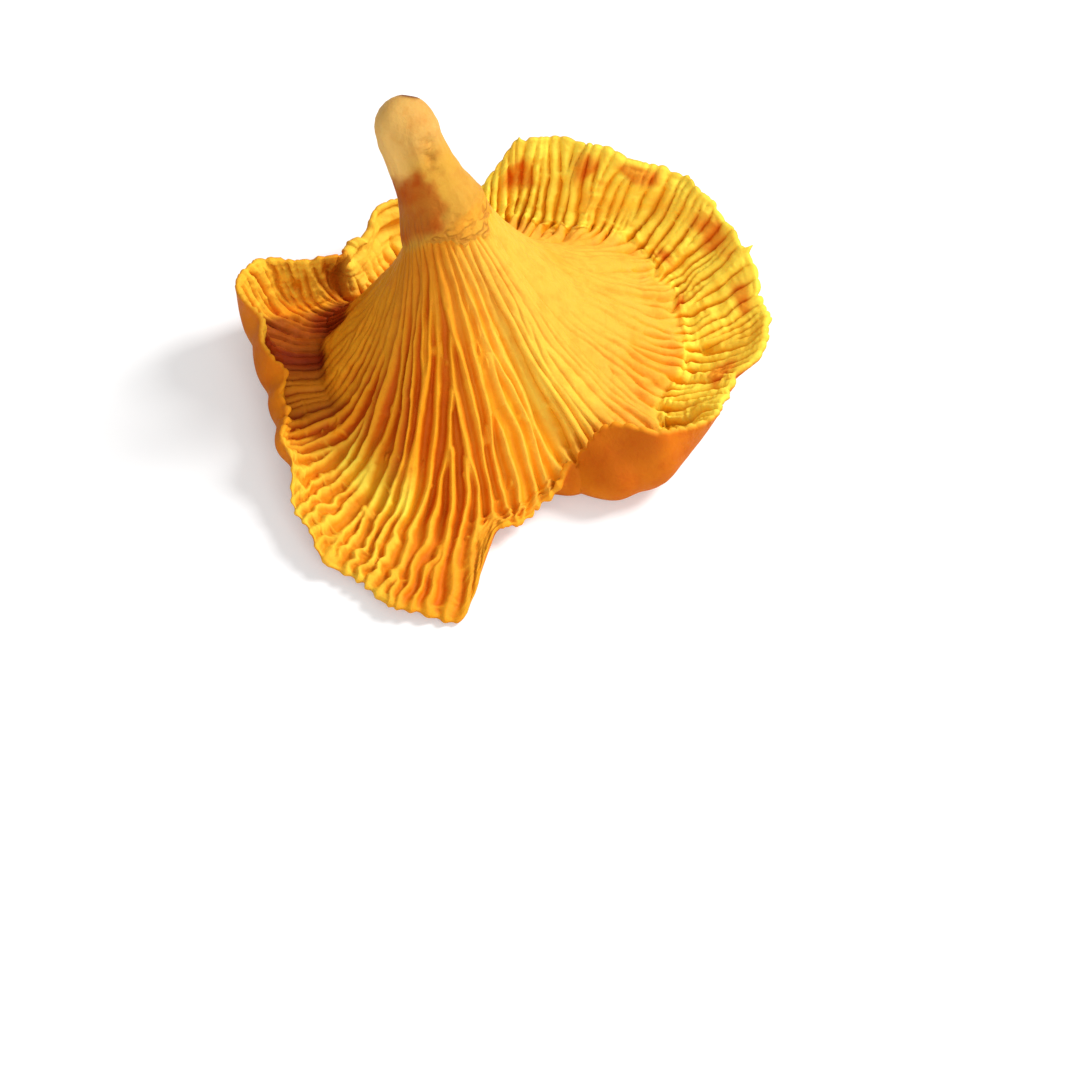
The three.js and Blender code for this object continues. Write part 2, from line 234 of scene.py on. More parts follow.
def gill_side(angle, s):
    """The gill side without its folds."""
    out = outward(angle)
    slope = (out - SHOULDER_SLOPE * UP) / np.hypot(1, SHOULDER_SLOPE)
    shoulder = (brim_value(SHOULDER_RADIUS, angle) + waves(angle, 0 * angle, SHOULDER_WAVES))[..., None] * out
    shoulder = shoulder + (SHOULDER_HEIGHT + waves(angle, 0 * angle, SHOULDER_LIFT))[..., None] * UP
    full = (0.5 + 0.5 * np.cos(np.radians(angle - FLANK_MIDDLE)))[..., None]
    flank = round_about(angle, FLANK_MIDDLE, FLANK_HALF_WIDTH)[..., None]
    neck = NECK_CENTRE + NECK_RADIUS * around_stem(angle) + neck_rise(angle)[..., None] * STEM_LEAN
    leaving = NECK_RUN - NECK_RUN_LESS_WHERE_FULL * full
    under_neck = neck - STEM_LEAN * leaving + out * SPREAD_WHERE_FULL * full
    landing = SHOULDER_RUN - SHOULDER_RUN_LESS_WHERE_FULL * full - FLANK_BELLY * flank
    before_shoulder = shoulder - slope * landing + UP * FLANK_BELLY * flank
    funnel = bezier(neck, under_neck, before_shoulder, shoulder, np.clip(s, 0, 1))

    turn = np.radians(angle)
    rim_radius = brim_value(RIM_RADIUS, angle)
    for height, count, start in RIM_IN_AND_OUT:
        rim_radius = rim_radius + height * np.sin(count * turn + start)
    rim_height = brim_value(RIM_HEIGHT, angle) + RIM_UP_AND_DOWN * np.cos(RIM_UPS * turn)
    rim_way = outward(angle + brim_value(SIDE_LEAN, angle))
    bulge = brim_value(BULGE, angle)[..., None]
    rim = rim_radius[..., None] * rim_way + rim_height[..., None] * UP
    width = np.linalg.norm(rim - shoulder, axis=-1)[..., None]
    crease = CREASE_STRENGTH + CREASE_UNEVENNESS * noise(angle, 0 * angle, 36, 1, 94)
    crease = between(angle, *CREASE_SPAN, soft=40) * crease
    softness = 1 - CREASE_SHARPNESS * crease[..., None]
    shoulder_ease = slope * np.minimum(SHOULDER_EASE_SHARE * width, SHOULDER_EASE_MOST)
    after_shoulder = shoulder + (shoulder_ease + out * bulge) * softness
    before_rim = rim + (shoulder - rim) * RIM_EASE_SHARE + rim_way * bulge * RIM_BULGE_SHARE
    brim = bezier(shoulder, after_shoulder, before_rim, rim, np.clip(s - 1, 0, 1))
    return np.where((s <= 1)[..., None], funnel, brim)


def gill_normal(angle, s):
    """The direction out of the flesh on the gill side, taken over a few degrees."""
    step_down, step_round = 0.03, 2.5
    above = np.maximum(s - step_down, np.where(s <= 1, 0, 1))
    below = np.minimum(s + step_down, np.where(s <= 1, 1, 2))
    down = gill_side(angle, below) - gill_side(angle, above)
    across = gill_side(angle + step_round, s) - gill_side(angle - step_round, s)
    return unit(np.cross(down, across))


# ---- the fruit body: its grid of skin points ------------------------------------------
# Columns go round the body. Rows go from the middle of the cut foot down the stem, over
# the gill side and the rim, and back along the smooth cap to the middle of its hollow.
COLUMNS = 1080
CUT_ROWS = 7
ROUNDING_ROWS = 8
STEM_ROWS = 40
FUNNEL_ROWS = 130
BRIM_ROWS = 56
EDGE_ROWS = 6
CAP_ROWS = 22
HOLLOW_ROWS = 34
RIM_ROUNDNESS = 0.5
HOLLOW_APEX = np.array([-3.0, 2.4, 15.0])
HOLLOW_APEX_SPREAD = 7
HOLLOW_ROLL_IN = 8.4
HOLLOW_ROLL_UP = 2.7
column_angles = np.arange(COLUMNS) * 360 / COLUMNS


def steps(count, start=0.0, end=1.0):
    """Even steps from the start to just before the end."""
    return np.linspace(start, end, count, endpoint=False)


def rows(point_at, places):
    """A row of points round the body at each of the places along one stretch of it."""
    angle, place = np.meshgrid(column_angles, places)
    return point_at(angle, place)


def cut_face(angle, t):
    side = around_stem(angle)
    edge = unit(side - (side @ CUT_NORMAL)[..., None] * CUT_NORMAL)
    return CUT_CENTRE + edge * (CUT_RADIUS * t)[..., None]


def foot_rounding(angle, t):
    """The end of the stem is as round as a ball, apart from the cut."""
    cut_way = (cut_face(angle, np.ones_like(angle)) - FOOT_CENTRE) / FOOT_RADIUS
    way = cut_way + (around_stem(angle) - cut_way) * t[..., None]
    return FOOT_CENTRE + way * (FOOT_RADIUS / np.linalg.norm(way, axis=-1))[..., None]


def stem(angle, t):
    part = 1 - t
    radius = np.interp(part, STEM_TAPER[:, 0], STEM_TAPER[:, 1])
    centre = NECK_CENTRE + STEM_LEAN * (STEM_LENGTH * part + neck_rise(angle) * t)[..., None]
    centre = centre + STEM_BEND * np.sin(np.pi * part)[..., None]
    return centre + around_stem(angle) * radius[..., None]


def cap_side(angle, s):
    just_past_shoulder = 1.0001
    thickness = RIM_THICKNESS + (SHOULDER_THICKNESS - RIM_THICKNESS) * (2 - s) ** THICKENING_POWER
    return gill_side(angle, s) - gill_normal(angle, np.maximum(s, just_past_shoulder)) * thickness[..., None]


def rim_edge(angle, t):
    gill_edge = gill_side(angle, np.full_like(angle, 2))
    cap_edge = cap_side(angle, np.full_like(angle, 2))
    out = unit(gill_edge - gill_side(angle, np.full_like(angle, 1.95)))
    half_turn = (np.pi * t)[..., None]
    middle, half = (gill_edge + cap_edge) / 2, (gill_edge - cap_edge) / 2
    return middle + half * np.cos(half_turn) + out * np.sin(half_turn) * RIM_ROUNDNESS


def hollow(angle, t):
    out = outward(angle)
    edge = cap_side(angle, np.ones_like(angle))
    near_edge = edge - out * HOLLOW_ROLL_IN + UP * HOLLOW_ROLL_UP
    return bezier(edge, near_edge, HOLLOW_APEX + out * HOLLOW_APEX_SPREAD, HOLLOW_APEX + 0 * out, t)


s_rows = np.concatenate([steps(FUNNEL_ROWS, 0, 1), steps(BRIM_ROWS, 1, 2)])
s_cap_rows = steps(CAP_ROWS, 2, 1)
points = np.concatenate([
    rows(cut_face, steps(CUT_ROWS)),
    rows(foot_rounding, steps(ROUNDING_ROWS)),
    rows(stem, steps(STEM_ROWS)),
    rows(gill_side, s_rows),
    rows(rim_edge, steps(EDGE_ROWS)),
    rows(cap_side, s_cap_rows),
    rows(hollow, np.linspace(0, 1, HOLLOW_ROWS + 1)),
])
row_count = len(points)
first_gill_row = CUT_ROWS + ROUNDING_ROWS + STEM_ROWS
last_gill_row = first_gill_row + FUNNEL_ROWS + BRIM_ROWS
first_cap_row = last_gill_row + EDGE_ROWS
stem_rows = slice(0, first_gill_row)
gill_rows = slice(first_gill_row, last_gill_row)
under_rows = slice(last_gill_row, row_count)
angle_grid = np.broadcast_to(column_angles, points.shape[:2])
angle_gill = angle_grid[gill_rows]
s_gill = np.broadcast_to(s_rows[:, None], angle_gill.shape)


def skin_normals(surface):
    """Outward directions of a closed grid of points, from its neighbours."""
    down = np.gradient(surface, axis=0)
    across = np.roll(surface, -1, axis=1) - np.roll(surface, 1, axis=1)
    normal = np.cross(down, across)
    length = np.linalg.norm(normal, axis=-1, keepdims=True)
    return normal / np.maximum(length, 1e-9)


normals = skin_normals(points)
push = np.zeros(points.shape[:2])

# ---- the gill folds -------------------------------------------------------------------
# A chanterelle's gills are blunt folds of its flesh that run down from the neck, fork as
# the funnel widens and join across here and there. Each fold is followed row by row: it
# keeps its distance from its neighbours, and where a gap grows too wide another begins.
FRONT = (205, 302)
FINE_SIDE = (150, 180)
BROAD_SIDE = (-40, 118)
FRILL = (212, 266)
FOLDS_AT_NECK = 48
NECK_SCATTER = 0.25
FOLD_GAPS = np.array([(0, 0.85), (0.3, 1.15), (0.6, 1.5), (1.0, 1.8), (1.3, 1.6), (2.0, 1.75)])
WIDER_IN_FRONT = 0.24
NARROWER_ON_FINE_SIDE = 0.36
FOLD_HEIGHTS = (0.8, 1.1)
# A gap this many times the usual one gets a new fold, most of them forking off another.
TOO_WIDE = (1.4, 1.9)
FORK_SHARE = 0.92
FORK_BESIDE = 0.12
FORK_HEIGHT = 0.8
LONE_FOLD_PLACE = (0.4, 0.6)
LONE_FOLD_HEIGHT = 0.05
GROWING_RUN = 2.5
# Folds close together sometimes join, and the others even out their gaps and drift a little.
CLOSE = 0.75
JOIN_CHANCE = 0.0035
JOIN_SPEED = 0.07
JOINED = 0.2
EVENING_RUN = 2.6
EVENING_SHARE = 0.5
DRIFT_KEPT = 0.96
DRIFT_CHANGE = 0.28
DRIFT_STEP = 0.032
PLACE, GROWN, FULL, DRIFT, JOINING = range(5)
chance = np.random.default_rng(11)
# Millimetres in a degree round the body, at each point, and from each row to the next one.
two_columns = np.roll(points[gill_rows], -1, axis=1) - np.roll(points[gill_rows], 1, axis=1)
girth = np.linalg.norm(two_columns, axis=-1) / (2 * 360 / COLUMNS)
run = np.linalg.norm(np.diff(points[gill_rows], axis=0), axis=-1).mean(axis=1)
run = np.append(run, run[-1])


def by_s(s, table):
    return np.interp(s, table[:, 0], table[:, 1])


def usual_gap(s, angle):
    """Distance between folds, in millimetres: wide in front and fine on the shaded side."""
    wider = WIDER_IN_FRONT * between(angle, *FRONT, soft=30)
    narrower = NARROWER_ON_FINE_SIDE * between(angle, *FINE_SIDE, soft=30)
    return by_s(s, FOLD_GAPS) * (1 + wider - narrower)


def new_folds(places, grown):
    count = len(places)
    full = chance.uniform(*FOLD_HEIGHTS, count)
    drift = chance.normal(0, 1, count)
    return np.array([places, grown, full, drift, np.zeros(count)])


def gaps_after(folds, row):
    """The gap from each fold to the next, in degrees and in millimetres."""
    gap = (np.roll(folds[PLACE], -1) - folds[PLACE]) % 360
    middle = (folds[PLACE] + gap / 2) % 360
    return gap, gap * np.interp(middle, column_angles, girth[row], period=360)


def in_order(folds):
    folds[PLACE] %= 360
    return folds[:, np.argsort(folds[PLACE])]


def begin_folds(folds, row, s):
    """Puts a fold into each gap that has grown too wide."""
    gap, gap_mm = gaps_after(folds, row)
    wide = np.flatnonzero(gap_mm > usual_gap(s, folds[PLACE]) * chance.uniform(*TOO_WIDE, len(gap)))
    forks = chance.random(len(wide)) < FORK_SHARE
    beside = np.where(chance.random(len(wide)) < 0.5, FORK_BESIDE, 1 - FORK_BESIDE)
    begin = np.where(forks, beside, chance.uniform(*LONE_FOLD_PLACE, len(wide)))
    height = np.where(forks, FORK_HEIGHT, LONE_FOLD_HEIGHT)
    added = new_folds(folds[PLACE, wide] + gap[wide] * begin, height)
    return in_order(np.concatenate([folds, added], axis=1))


def follow_folds():
    """For each gill row, the folds' angles, their heights and the gap after each."""
    spread = np.arange(FOLDS_AT_NECK) + chance.uniform(-NECK_SCATTER, NECK_SCATTER, FOLDS_AT_NECK)
    folds = new_folds(spread * 360 / FOLDS_AT_NECK, np.ones(FOLDS_AT_NECK))
    history = []
    for row, s in enumerate(s_rows):
        folds = begin_folds(folds, row, s)
        gap, gap_mm = gaps_after(folds, row)
        history.append((folds[PLACE].copy(), folds[GROWN] * folds[FULL], gap_mm))
        usual = usual_gap(s, folds[PLACE])
        free = (folds[JOINING] == 0) & (np.roll(folds[JOINING], -1) == 0)
        meeting = free & (gap_mm < CLOSE * usual) & (chance.random(len(gap)) < JOIN_CHANCE)
        folds[JOINING] = np.maximum(folds[JOINING], meeting)
        pull = 1 - np.exp(-run[row] / EVENING_RUN)
        folds[DRIFT] = folds[DRIFT] * DRIFT_KEPT + chance.normal(0, DRIFT_CHANGE, len(gap))
        evened = pull * EVENING_SHARE * (gap - np.roll(gap, 1)) / 2 + folds[DRIFT] * DRIFT_STEP * gap / gap_mm
        folds[PLACE] += np.where(folds[JOINING] > 0, JOIN_SPEED * gap, evened)
        folds[GROWN] = np.minimum(1, folds[GROWN] + run[row] / GROWING_RUN)
        folds = folds[:, (folds[JOINING] == 0) | (gap_mm > JOINED * usual)]
        folds = in_order(folds)
    return history


# How the folds waver, in millimetres: everywhere, and more on the broad side and the frill.
WAVER = ((0.38, 34, 3.5, 21), (0.16, 64, 8, 22))
WAVER_BROAD = 0.5
WAVER_FRILL = 0.5
# In front the folds are thinner blades with wide open valleys, elsewhere round cushions.
CUSHION_SHARE = 0.97
BLADE_THINNER = 0.16
BLADE_UNEVEN = 0.1
BLADE_OPEN = 0.85
CUSHION_TOP = 2.2
CUSHION_FOOT = 0.75
LUMPS_LONG = 0.14
LUMPS_SHORT = 0.12


def fold_levels(row, s):
    """Heights across one row: 1 on a full crest and 0 at the bottom of a full valley."""
    place, height, gap_mm = fold_history[row]
    down = 0 * column_angles + s
    waver = waves(column_angles, down, WAVER)
    broad_side = between(column_angles, *BROAD_SIDE, soft=40) * until(s, 1.1, 0.3)
    waver = waver + WAVER_BROAD * broad_side * noise(column_angles, down, 52, 9, 26)
    frilled = between(column_angles, *FRILL, soft=12) * past(s, 1, 0.2)
    waver = waver + WAVER_FRILL * frilled * noise(column_angles, down, 110, 8, 25)
    where = (column_angles + waver * min(3 * s + 0.2, 1) / girth[row]) % 360
    after = np.searchsorted(place, where) % len(place)
    before = after - 1
    across = ((where - place[before]) % 360) / ((place[after] - place[before]) % 360)
    crest = height[before] + (height[after] - height[before]) * ease(across)

    uneven = noise(column_angles, down, 56, 6, 24)
    blade = between(column_angles, *FRONT, soft=50) * ease(2.5 * s)
    share = CUSHION_SHARE - (BLADE_THINNER - BLADE_UNEVEN * uneven) * blade
    from_crest = np.minimum((1 - np.abs(2 * across - 1)) / share, 1)
    cushion = 1 - (1 - from_crest ** CUSHION_TOP) ** CUSHION_FOOT
    valley_between = cushion + BLADE_OPEN * (ease(from_crest) - cushion) * blade
    opened = past(gap_mm[before] / usual_gap(s, where), 0.25, 0.6)
    lumpy = LUMPS_LONG * uneven + LUMPS_SHORT * noise(column_angles, down, 84, 24, 27)
    return crest * (1 + lumpy) * (1 - opened * valley_between)


fold_history = follow_folds()
relief = np.array([fold_levels(row, s) for row, s in enumerate(s_rows)])

# Low bridges cross the valleys here and there.
BRIDGE_HEIGHT = 0.45
BRIDGE_SLANT = 9
bridges = past(noise(angle_gill + BRIDGE_SLANT * s_gill, s_gill, 150, 22, 23), 0.5, 0.4)
relief = relief + BRIDGE_HEIGHT * bridges * (1 - relief)

# How deep the folds are at each s, in millimetres: shallow at the neck and on the broad
# pale side, deep in front.
DEPTH_FRONT = np.array([(0, 0.35), (0.08, 0.55), (0.3, 0.95), (0.7, 1.35),
                        (1.0, 1.4), (1.4, 1.2), (1.85, 1.0), (2.0, 0.6)])
DEPTH_BROAD = np.array([(0, 0.06), (0.1, 0.13), (0.5, 0.15), (0.75, 0.42), (0.9, 0.9),
                        (1.1, 1.35), (1.5, 1.25), (1.85, 0.85), (2.0, 0.4)])
DEPTH_FINE = np.array([(0, 0.1), (0.2, 0.22), (0.6, 0.5), (1.0, 1.0), (1.5, 1.0), (1.9, 0.8), (2.0, 0.4)])
DEPTH_ELSEWHERE = np.array([(0, 0.3), (0.1, 0.4), (0.5, 0.6), (1.0, 0.9), (1.5, 0.9), (1.9, 0.6), (2.0, 0.4)])
DEPTH_UNEVEN_WIDE = 0.22
DEPTH_UNEVEN_SMALL = 0.15
in_front = between(angle_gill, *FRONT, soft=60)
fine = between(angle_gill, *FINE_SIDE, soft=40)
broad = between(angle_gill, *BROAD_SIDE, soft=60)
elsewhere = np.clip(1 - in_front - fine - broad, 0, 1)
depth = by_s(s_gill, DEPTH_FRONT) * in_front + by_s(s_gill, DEPTH_BROAD) * broad
depth = depth + by_s(s_gill, DEPTH_FINE) * fine + by_s(s_gill, DEPTH_ELSEWHERE) * elsewhere
depth = depth / (in_front + fine + broad + elsewhere)
uneven_wide, uneven_small = noise(angle_gill, s_gill, 14, 4, 31), noise(angle_gill, s_gill, 60, 9, 32)
depth = depth * (1 + DEPTH_UNEVEN_WIDE * uneven_wide + DEPTH_UNEVEN_SMALL * uneven_small)

# The small lobe behind the stem rolls in like an ear, with soft wrinkles along its margin
# and a pleat beside it.
EAR = (116, 147)
EAR_FOLDS_LOWER = 0.75
EAR_WRINKLE_HEIGHT = 0.7
EAR_WRINKLES = ((1, 20, 8, 33), (0.5, 44, 14, 34))
PLEAT_ANGLE = 150.5
PLEAT_HALF_WIDTH = 2.6
PLEAT_MIDDLE = 1.5
PLEAT_HALF_LENGTH = 0.42
PLEAT_DEPTH = 1.3
ear = between(angle_gill, *EAR, soft=8) * past(s_gill, 1.2, 0.3)
pleat = round_about(angle_gill, PLEAT_ANGLE, PLEAT_HALF_WIDTH)
pleat = pleat * hill(s_gill, PLEAT_MIDDLE, PLEAT_HALF_LENGTH)
wrinkles = waves(angle_gill, s_gill, EAR_WRINKLES)
depth = depth * (1 - EAR_FOLDS_LOWER * ear)

# The left lobe's wall has deep folds. They are low in the pocket below it, beside the
# tongue and high on the funnel's left side.
LOBE_WALL = (153, 182)
LOBE_WALL_DEEPER = 0.5
POCKET = (168, 204)
POCKET_LOWER = 0.45
TONGUE_SIDE = 271
TONGUE_LOWER = 0.85
FUNNEL_LEFT = (150, 232)
FUNNEL_LEFT_LOWER = 0.5
lobe_wall = between(angle_gill, *LOBE_WALL, soft=8) * past(s_gill, 1.25, 0.3)
pocket = between(angle_gill, *POCKET, soft=14) * hill(s_gill, 1.0, 0.3)
beside_tongue = round_about(angle_gill, TONGUE_SIDE, 4) * past(s_gill, 1.05, 0.2)
high_on_left = between(angle_gill, *FUNNEL_LEFT, soft=40) * until(s_gill, 0.75, 0.4)
depth = depth * (1 + LOBE_WALL_DEEPER * lobe_wall) * (1 - POCKET_LOWER * pocket)
depth = depth * (1 - TONGUE_LOWER * beside_tongue) * (1 - FUNNEL_LEFT_LOWER * high_on_left)

# The crease where funnel and brim meet: the folds break there into knobs and pits.
CREASE_BACK = (55, 112)
CREASE_FLATTER = 0.4
PITS_DEEPER = 0.7
PITS_DEEPER_BACK = 0.8
KNOB_HEIGHT = 0.8
crease_here = between(angle_gill, *CREASE_SPAN, soft=20)
crease_place = 1.0 + 0.06 * noise(angle_gill, 0 * s_gill, 40, 1, 41)
crease_place = crease_place + 0.05 * noise(angle_gill, 0 * s_gill, 110, 1, 42)
pits = hill(s_gill, crease_place + 0.09, 0.07) * crease_here
pits_deeper = PITS_DEEPER + PITS_DEEPER_BACK * between(angle_gill, *CREASE_BACK, soft=30)
flattened = CREASE_FLATTER * hill(s_gill, crease_place, 0.035) * crease_here
depth = depth * (1 + pits_deeper * pits) * (1 - flattened)
knobs = noise(angle_gill, s_gill, 110, 15, 43) * hill(s_gill, crease_place - 0.02, 0.09) * crease_here

# The folds stand on lumpy flesh. A valley's painted shade is as dark as the valley is deep.
FOLD_MIDDLE = 0.6
FLESH_LUMPS = ((0.35, 26, 5, 44), (0.1, 130, 26, 45))
FULL_VALLEY_DEPTH = 1.2
lumps = waves(angle_gill, s_gill, FLESH_LUMPS)
lift = depth * (relief - FOLD_MIDDLE) + KNOB_HEIGHT * knobs + EAR_WRINKLE_HEIGHT * wrinkles * ear
lift = lift - PLEAT_DEPTH * pleat + lumps * np.clip(s_gill * 2, 0.1, 1)
valley = np.clip(depth * (1 - relief) / FULL_VALLEY_DEPTH, 0, 1)
push[gill_rows] = lift

# ---- the stem's skin ------------------------------------------------------------------
# The stem is firm and nearly smooth, with low lumps and fine fibres along it. Its skin ends
# in a torn, frayed lip over the first folds on the right of the neck, and an old scar runs
# down its right side.
LIP_HEIGHT = 0.35
LIP_SPAN = (258, 372)
LIP_LOWEST = 325
LIP_START = 0.01
LIP_REACH = 0.15
LIP_FRAY = 0.2
LIP_ROUGHNESS = 0.2
SCAR_ANGLE = 312
SCAR_DEPTH = 0.4
STEM_LUMPS = ((0.2, 6, 6, 51), (0.1, 15, 14, 52), (0.05, 60, 7, 53))
lip_end = LIP_START + LIP_REACH * round_about(angle_gill, LIP_LOWEST, 40)
lip_end = lip_end + 0.02 * noise(angle_gill, 0 * s_gill, 30, 1, 54)
lip_end = lip_end + 0.014 * noise(angle_gill, 0 * s_gill, 90, 1, 55)
on_lip = ease((lip_end - s_gill) / 0.012 + 0.5) * between(angle_gill, *LIP_SPAN, soft=30)
lip_grooves = np.clip(1 - np.abs(noise(angle_gill, s_gill, 26, 16, 56)) / 0.3, 0, 1)
frayed = LIP_FRAY * lip_grooves * hill(s_gill, lip_end - 0.04, 0.06)
push[gill_rows] = push[gill_rows] * (1 - on_lip) + (LIP_HEIGHT - frayed) * on_lip

stem_angle = angle_grid[stem_rows]
stem_part = np.broadcast_to(np.linspace(0, 1, first_gill_row)[:, None], stem_angle.shape)
away_from_foot = np.clip((np.arange(first_gill_row)[:, None] - CUT_ROWS) / ROUNDING_ROWS, 0, 1)
scar = round_about(stem_angle + 8 * noise(stem_angle, stem_part, 8, 10, 57), SCAR_ANGLE, 13)
scar = scar * hill(stem_part, 0.5, 0.17)
at_neck = between(stem_angle, *LIP_SPAN, soft=30) * past(stem_part, 0.8, 0.2)
running_up = past(stem_part, 0.78, 0.22) * (1 - at_neck)
push[stem_rows] = running_up * push[first_gill_row] + away_from_foot * (
    waves(stem_angle, stem_part, STEM_LUMPS)
    - SCAR_DEPTH * scar * (1 + noise(stem_angle, stem_part, 30, 24, 58))
    + (LIP_HEIGHT + LIP_ROUGHNESS * noise(stem_angle, stem_part, 50, 40, 59)) * at_neck
)

# ---- the cap's smooth side ------------------------------------------------------------
# The cap's own skin is smooth and faces the table. It has faint waves, and round the edge
# of the rim it takes over the ends of the folds.
CAP_WAVES = ((0.3, 14, 5, 61), (0.12, 40, 10, 62))
under_angle = angle_grid[under_rows]
under_part = np.broadcast_to(np.linspace(0, 1, row_count - last_gill_row)[:, None], under_angle.shape)
from_rim = np.clip(np.arange(row_count - last_gill_row)[:, None] / EDGE_ROWS, 0, 1)
to_middle = np.clip(3 * (1 - under_part), 0, 1)
cap_waves = to_middle * waves(under_angle, under_part, CAP_WAVES) * from_rim
push[under_rows] = cap_waves + (1 - from_rim) * lift[-1]

surface = points + normals * push[..., None]

# ---- the ruffled rim ------------------------------------------------------------------
# The brim's thin edge waves in and out over a few millimetres and is nicked and scalloped
# by the folds that reach it. At its right end it is torn and has a thin spur.
RUFFLES = ((0.75, 30, 1, 71), (0.4, 75, 1, 72))
FOLD_SCALLOP = 0.16
OTHER_SCALLOPS = 0.3
NICK_DEPTH = 0.6
SPUR_ANGLE = 21
SPUR_LENGTH = 1.2
# The tears: depth, angle and half-width in degrees.
TEARS = ((2.5, 352, 2.4), (1.4, 347, 1.6))
RUFFLED_FROM = 1.1
RUFFLED_OVER = 0.9
brimward = np.zeros(row_count)
brimward[gill_rows] = np.clip(s_rows - RUFFLED_FROM, 0, 1) / RUFFLED_OVER
brimward[last_gill_row:first_cap_row] = 1
brimward[first_cap_row:first_cap_row + CAP_ROWS] = np.clip(s_cap_rows - RUFFLED_FROM, 0, 1) / RUFFLED_OVER


def at_rim(power):
    """1 round the rim and less away from it, the faster the higher the power."""
    return brimward[:, None] ** power


rim_normal = normals[last_gill_row - 2]
ruffle = waves(angle_grid, 0 * angle_grid, RUFFLES)
surface = surface + rim_normal * (ruffle * at_rim(1.6))[..., None]
rim_itself, near_rim = np.full(COLUMNS, 2.0), np.full(COLUMNS, 1.9)
rim_out = unit(gill_side(column_angles, rim_itself) - gill_side(column_angles, near_rim))
nicks = past(noise(column_angles, 0 * column_angles, 120, 1, 73), 0.45, 0.4)
scallop = FOLD_SCALLOP * (relief[-1] - 0.5)
scallop = scallop + OTHER_SCALLOPS * noise(column_angles, 0 * column_angles, 70, 1, 74)
scallop = scallop - NICK_DEPTH * nicks
spur = SPUR_LENGTH * round_about(column_angles, SPUR_ANGLE, 0.35)
torn = sum(length * round_about(column_angles, *spot) for length, *spot in TEARS)
surface = surface + rim_out * (scallop * at_rim(6) + spur * at_rim(20))[..., None]
surface = surface - rim_out * (torn * at_rim(4))[..., None]

# ---- the flesh's tints ----------------------------------------------------------------
# Fresh chanterelle flesh is yolk yellow and paler on the stem. Painted light makes one side
# paler and painted shade darkens shaded places; the flesh turns orange and brown where it is
# torn or stained, and in a patch on the stem. Each tint is a value from 0 to 1 at every
# point, and the skin carries the tints as attributes for the material.
#
# It also carries how far down the body each row lies: to 0.1 on the cut, to 0.25 round the
# foot, to 1 down the stem, to 3 over the gill side, to 3.2 round the rim, to 4 over the cap
# and to 5 in its hollow.
down_rows = np.concatenate([
    steps(CUT_ROWS, 0, 0.1),
    steps(ROUNDING_ROWS, 0.1, 0.25),
    steps(STEM_ROWS, 0.25, 1),
    1 + s_rows,
    steps(EDGE_ROWS, 3, 3.2),
    steps(CAP_ROWS, 3.2, 4),
    np.linspace(4, 5, HOLLOW_ROWS + 1),
])
down_body = np.broadcast_to(down_rows[:, None], points.shape[:2])

valleys = np.zeros(points.shape[:2])
valleys[gill_rows] = valley
valleys[stem_rows] = valley[0] * running_up

# Painted light: the funnel's right side, the brim round it and the ear face the lamp, and
# are painted paler.
LIT_SIDE_SPAN = (-84, 110)
EAR_LIT_SHARE = 0.8
painted_lit_side = between(angle_grid, *LIT_SIDE_SPAN, soft=50) * past(down_body, 1, 0.2) * until(down_body, 3.2, 0.6)
lit_ear = EAR_LIT_SHARE * between(angle_grid, *EAR, soft=8) * past(down_body, 2, 0.3)
painted_lit_side = np.maximum(painted_lit_side, lit_ear)

# Orange stains on the brim, streaked along the folds and stronger in the valleys. Each has
# its angle, its half-width in degrees, its place down the body and its half-length there.
STAINS = ((31, 5.5, 2.77, 0.17), (14, 3.5, 2.82, 0.1), (52, 4.5, 2.9, 0.1), (64, 3, 2.76, 0.16),
          (82, 4, 2.66, 0.14), (353, 4, 2.6, 0.14), (34, 4, 2.2, 0.09), (20, 3, 2.12, 0.07))
STAIN_THRESHOLD = 0.08
STAIN_SOFTNESS = 0.62
STAIN_STREAKS = 0.18
STAIN_ON_CRESTS = 0.72
MORE_IN_VALLEYS = 0.28
streaks = noise(angle_grid, down_body, 110, 6, 81)
streaked_angle, streaked_place = angle_grid + 2 * streaks, down_body + 0.06 * streaks
stained = sum(round_about(streaked_angle, angle, width) * hill(streaked_place, place, reach)
              for angle, width, place, reach in STAINS)
stained = ease((stained + STAIN_STREAKS * streaks - STAIN_THRESHOLD) / STAIN_SOFTNESS)
stained = stained * (STAIN_ON_CRESTS + MORE_IN_VALLEYS * ease(valleys * 1.6))

# A brown patch with an uneven edge covers the lower stem's left and front.
BROWN_PATCH = (186, 293)
BROWN_PATCH_TOP = 0.5
BROWN_PATCH_END = 1.02
patchy = noise(angle_grid, down_body, 10, 12, 82) + 0.5 * noise(angle_grid, down_body, 30, 30, 83)
brown_patch = between(angle_grid + 10 * patchy, *BROWN_PATCH, soft=16)
brown_patch = brown_patch * ease((down_body - BROWN_PATCH_TOP + 0.05 * patchy) / 0.12)
brown_patch = brown_patch * ease((BROWN_PATCH_END + 0.04 * patchy - down_body) / 0.1)
brown_patch = np.clip(brown_patch * (0.8 + 0.2 * patchy), 0, 1)

# Scarred skin is browner, and the lip's edge and the scar are finely wrinkled.
LIP_SCARRED = 0.7
SCAR_WRINKLED = 0.4
scarred = np.zeros(points.shape[:2])
scarred[stem_rows] = np.maximum(scar, LIP_SCARRED * at_neck)
scarred[gill_rows] = LIP_SCARRED * on_lip
wrinkled = np.zeros(points.shape[:2])
wrinkled[stem_rows] = SCAR_WRINKLED * scar
wrinkled[gill_rows] = on_lip * hill(s_gill, lip_end - 0.035, 0.045)
